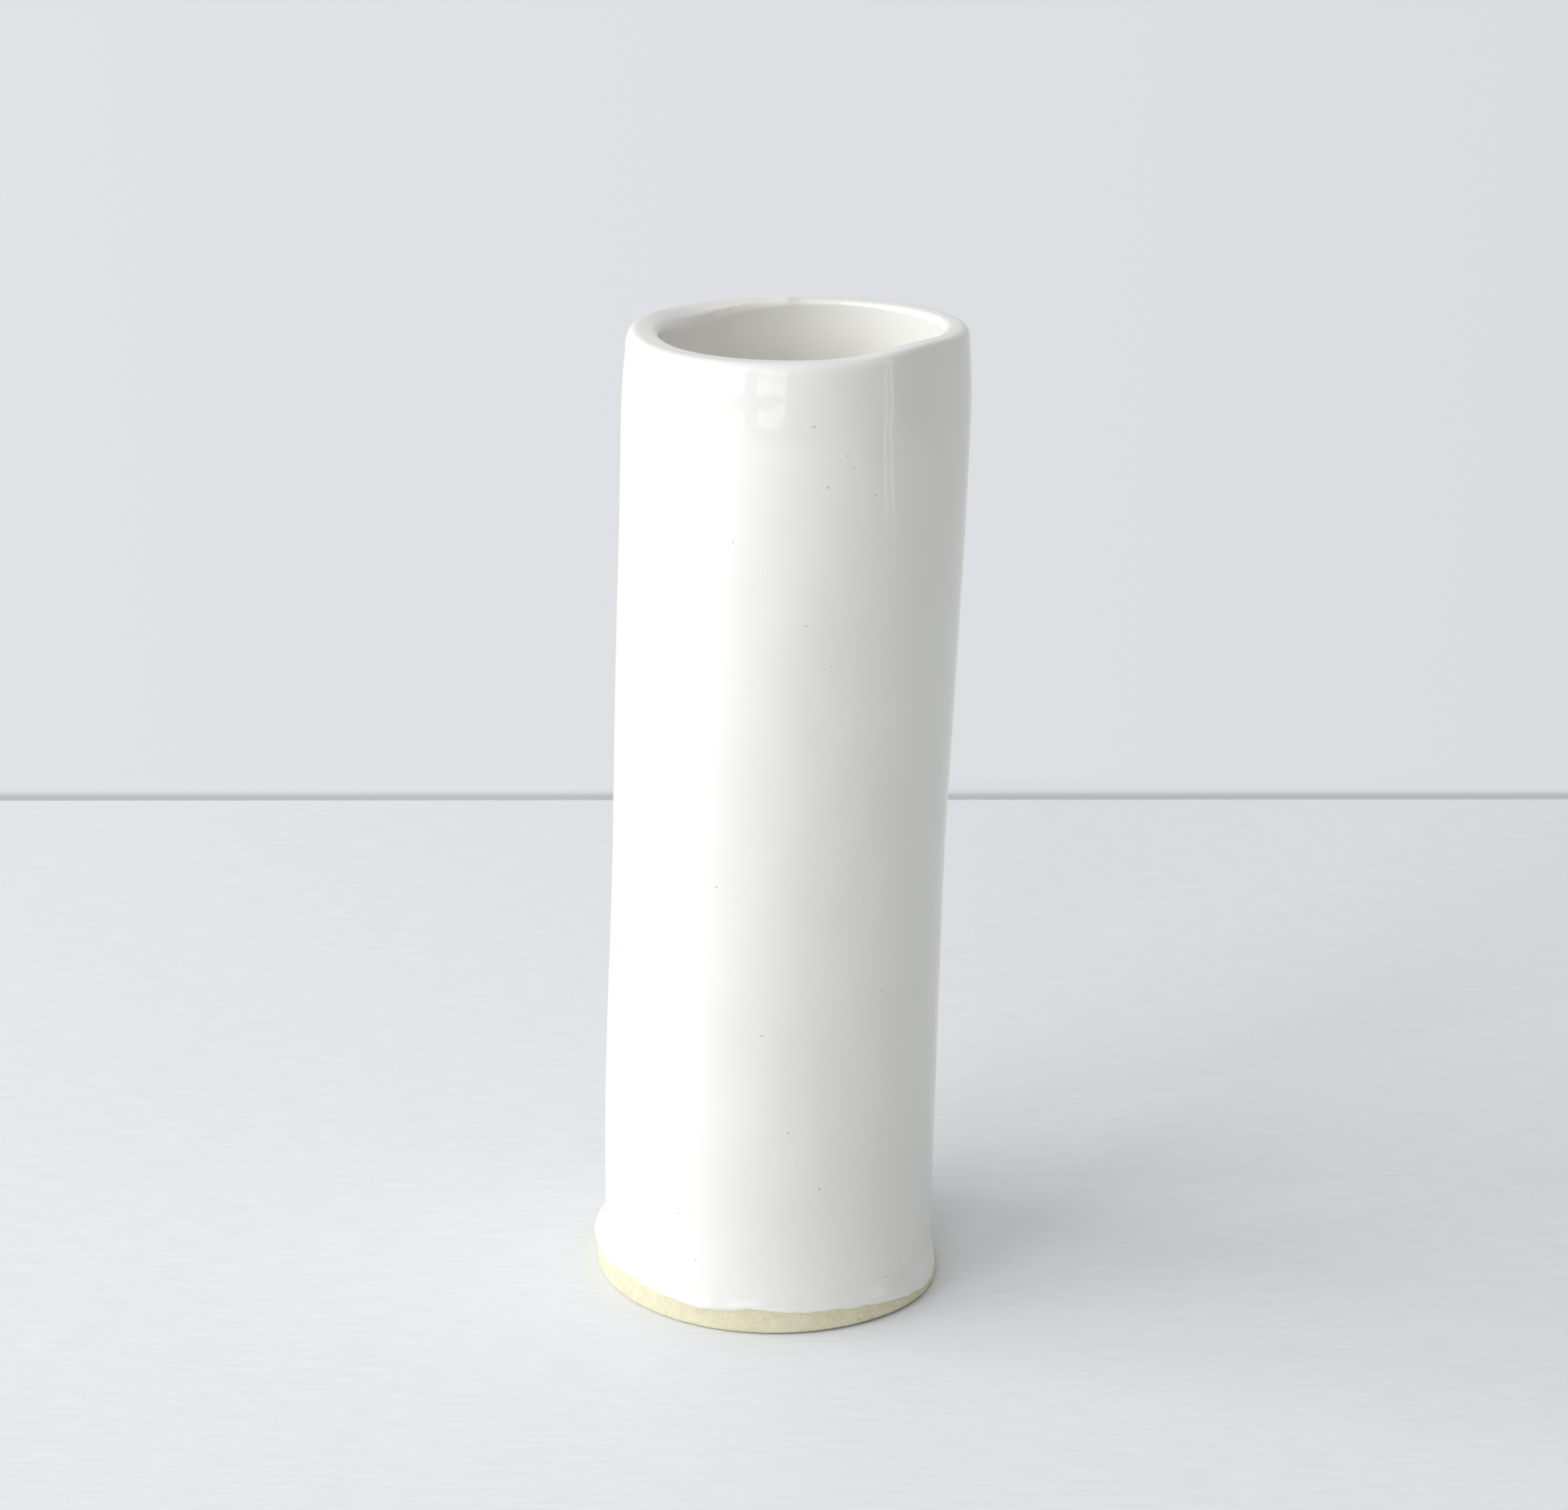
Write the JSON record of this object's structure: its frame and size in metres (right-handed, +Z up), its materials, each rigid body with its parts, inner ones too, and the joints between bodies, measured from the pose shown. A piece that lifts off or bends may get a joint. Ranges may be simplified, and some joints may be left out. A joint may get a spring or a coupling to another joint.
{
  "type": "bud vase",
  "caption": "Slab-built ceramic bud vase: a slightly leaning straight-sided glazed tube with a rounded lip, standing on a round base slab with a bare clay foot.",
  "frame": {"origin": "centre of the foot's flat underside, on the surface the vase stands on", "axes": "+Z up, towards the mouth; +X the way the tube leans; +Y makes the right-handed set, away from the viewer of the front"},
  "size_m": [0.0654, 0.0622, 0.1703],
  "materials": {
    "bare_clay": "matt buff stoneware with fine sand and pale grog",
    "liner_glaze": "glossy milk-white glaze",
    "outer_glaze": "glossy milk-white glaze with a few small iron specks"
  },
  "bodies": {
    "root": {"base_slab": "bare_clay", "wall_tube": "bare_clay", "inner_coil": "bare_clay", "outer_coil": "bare_clay", "liner_glaze": "liner_glaze", "outer_glaze": "outer_glaze"}
  },
  "joints": []
}
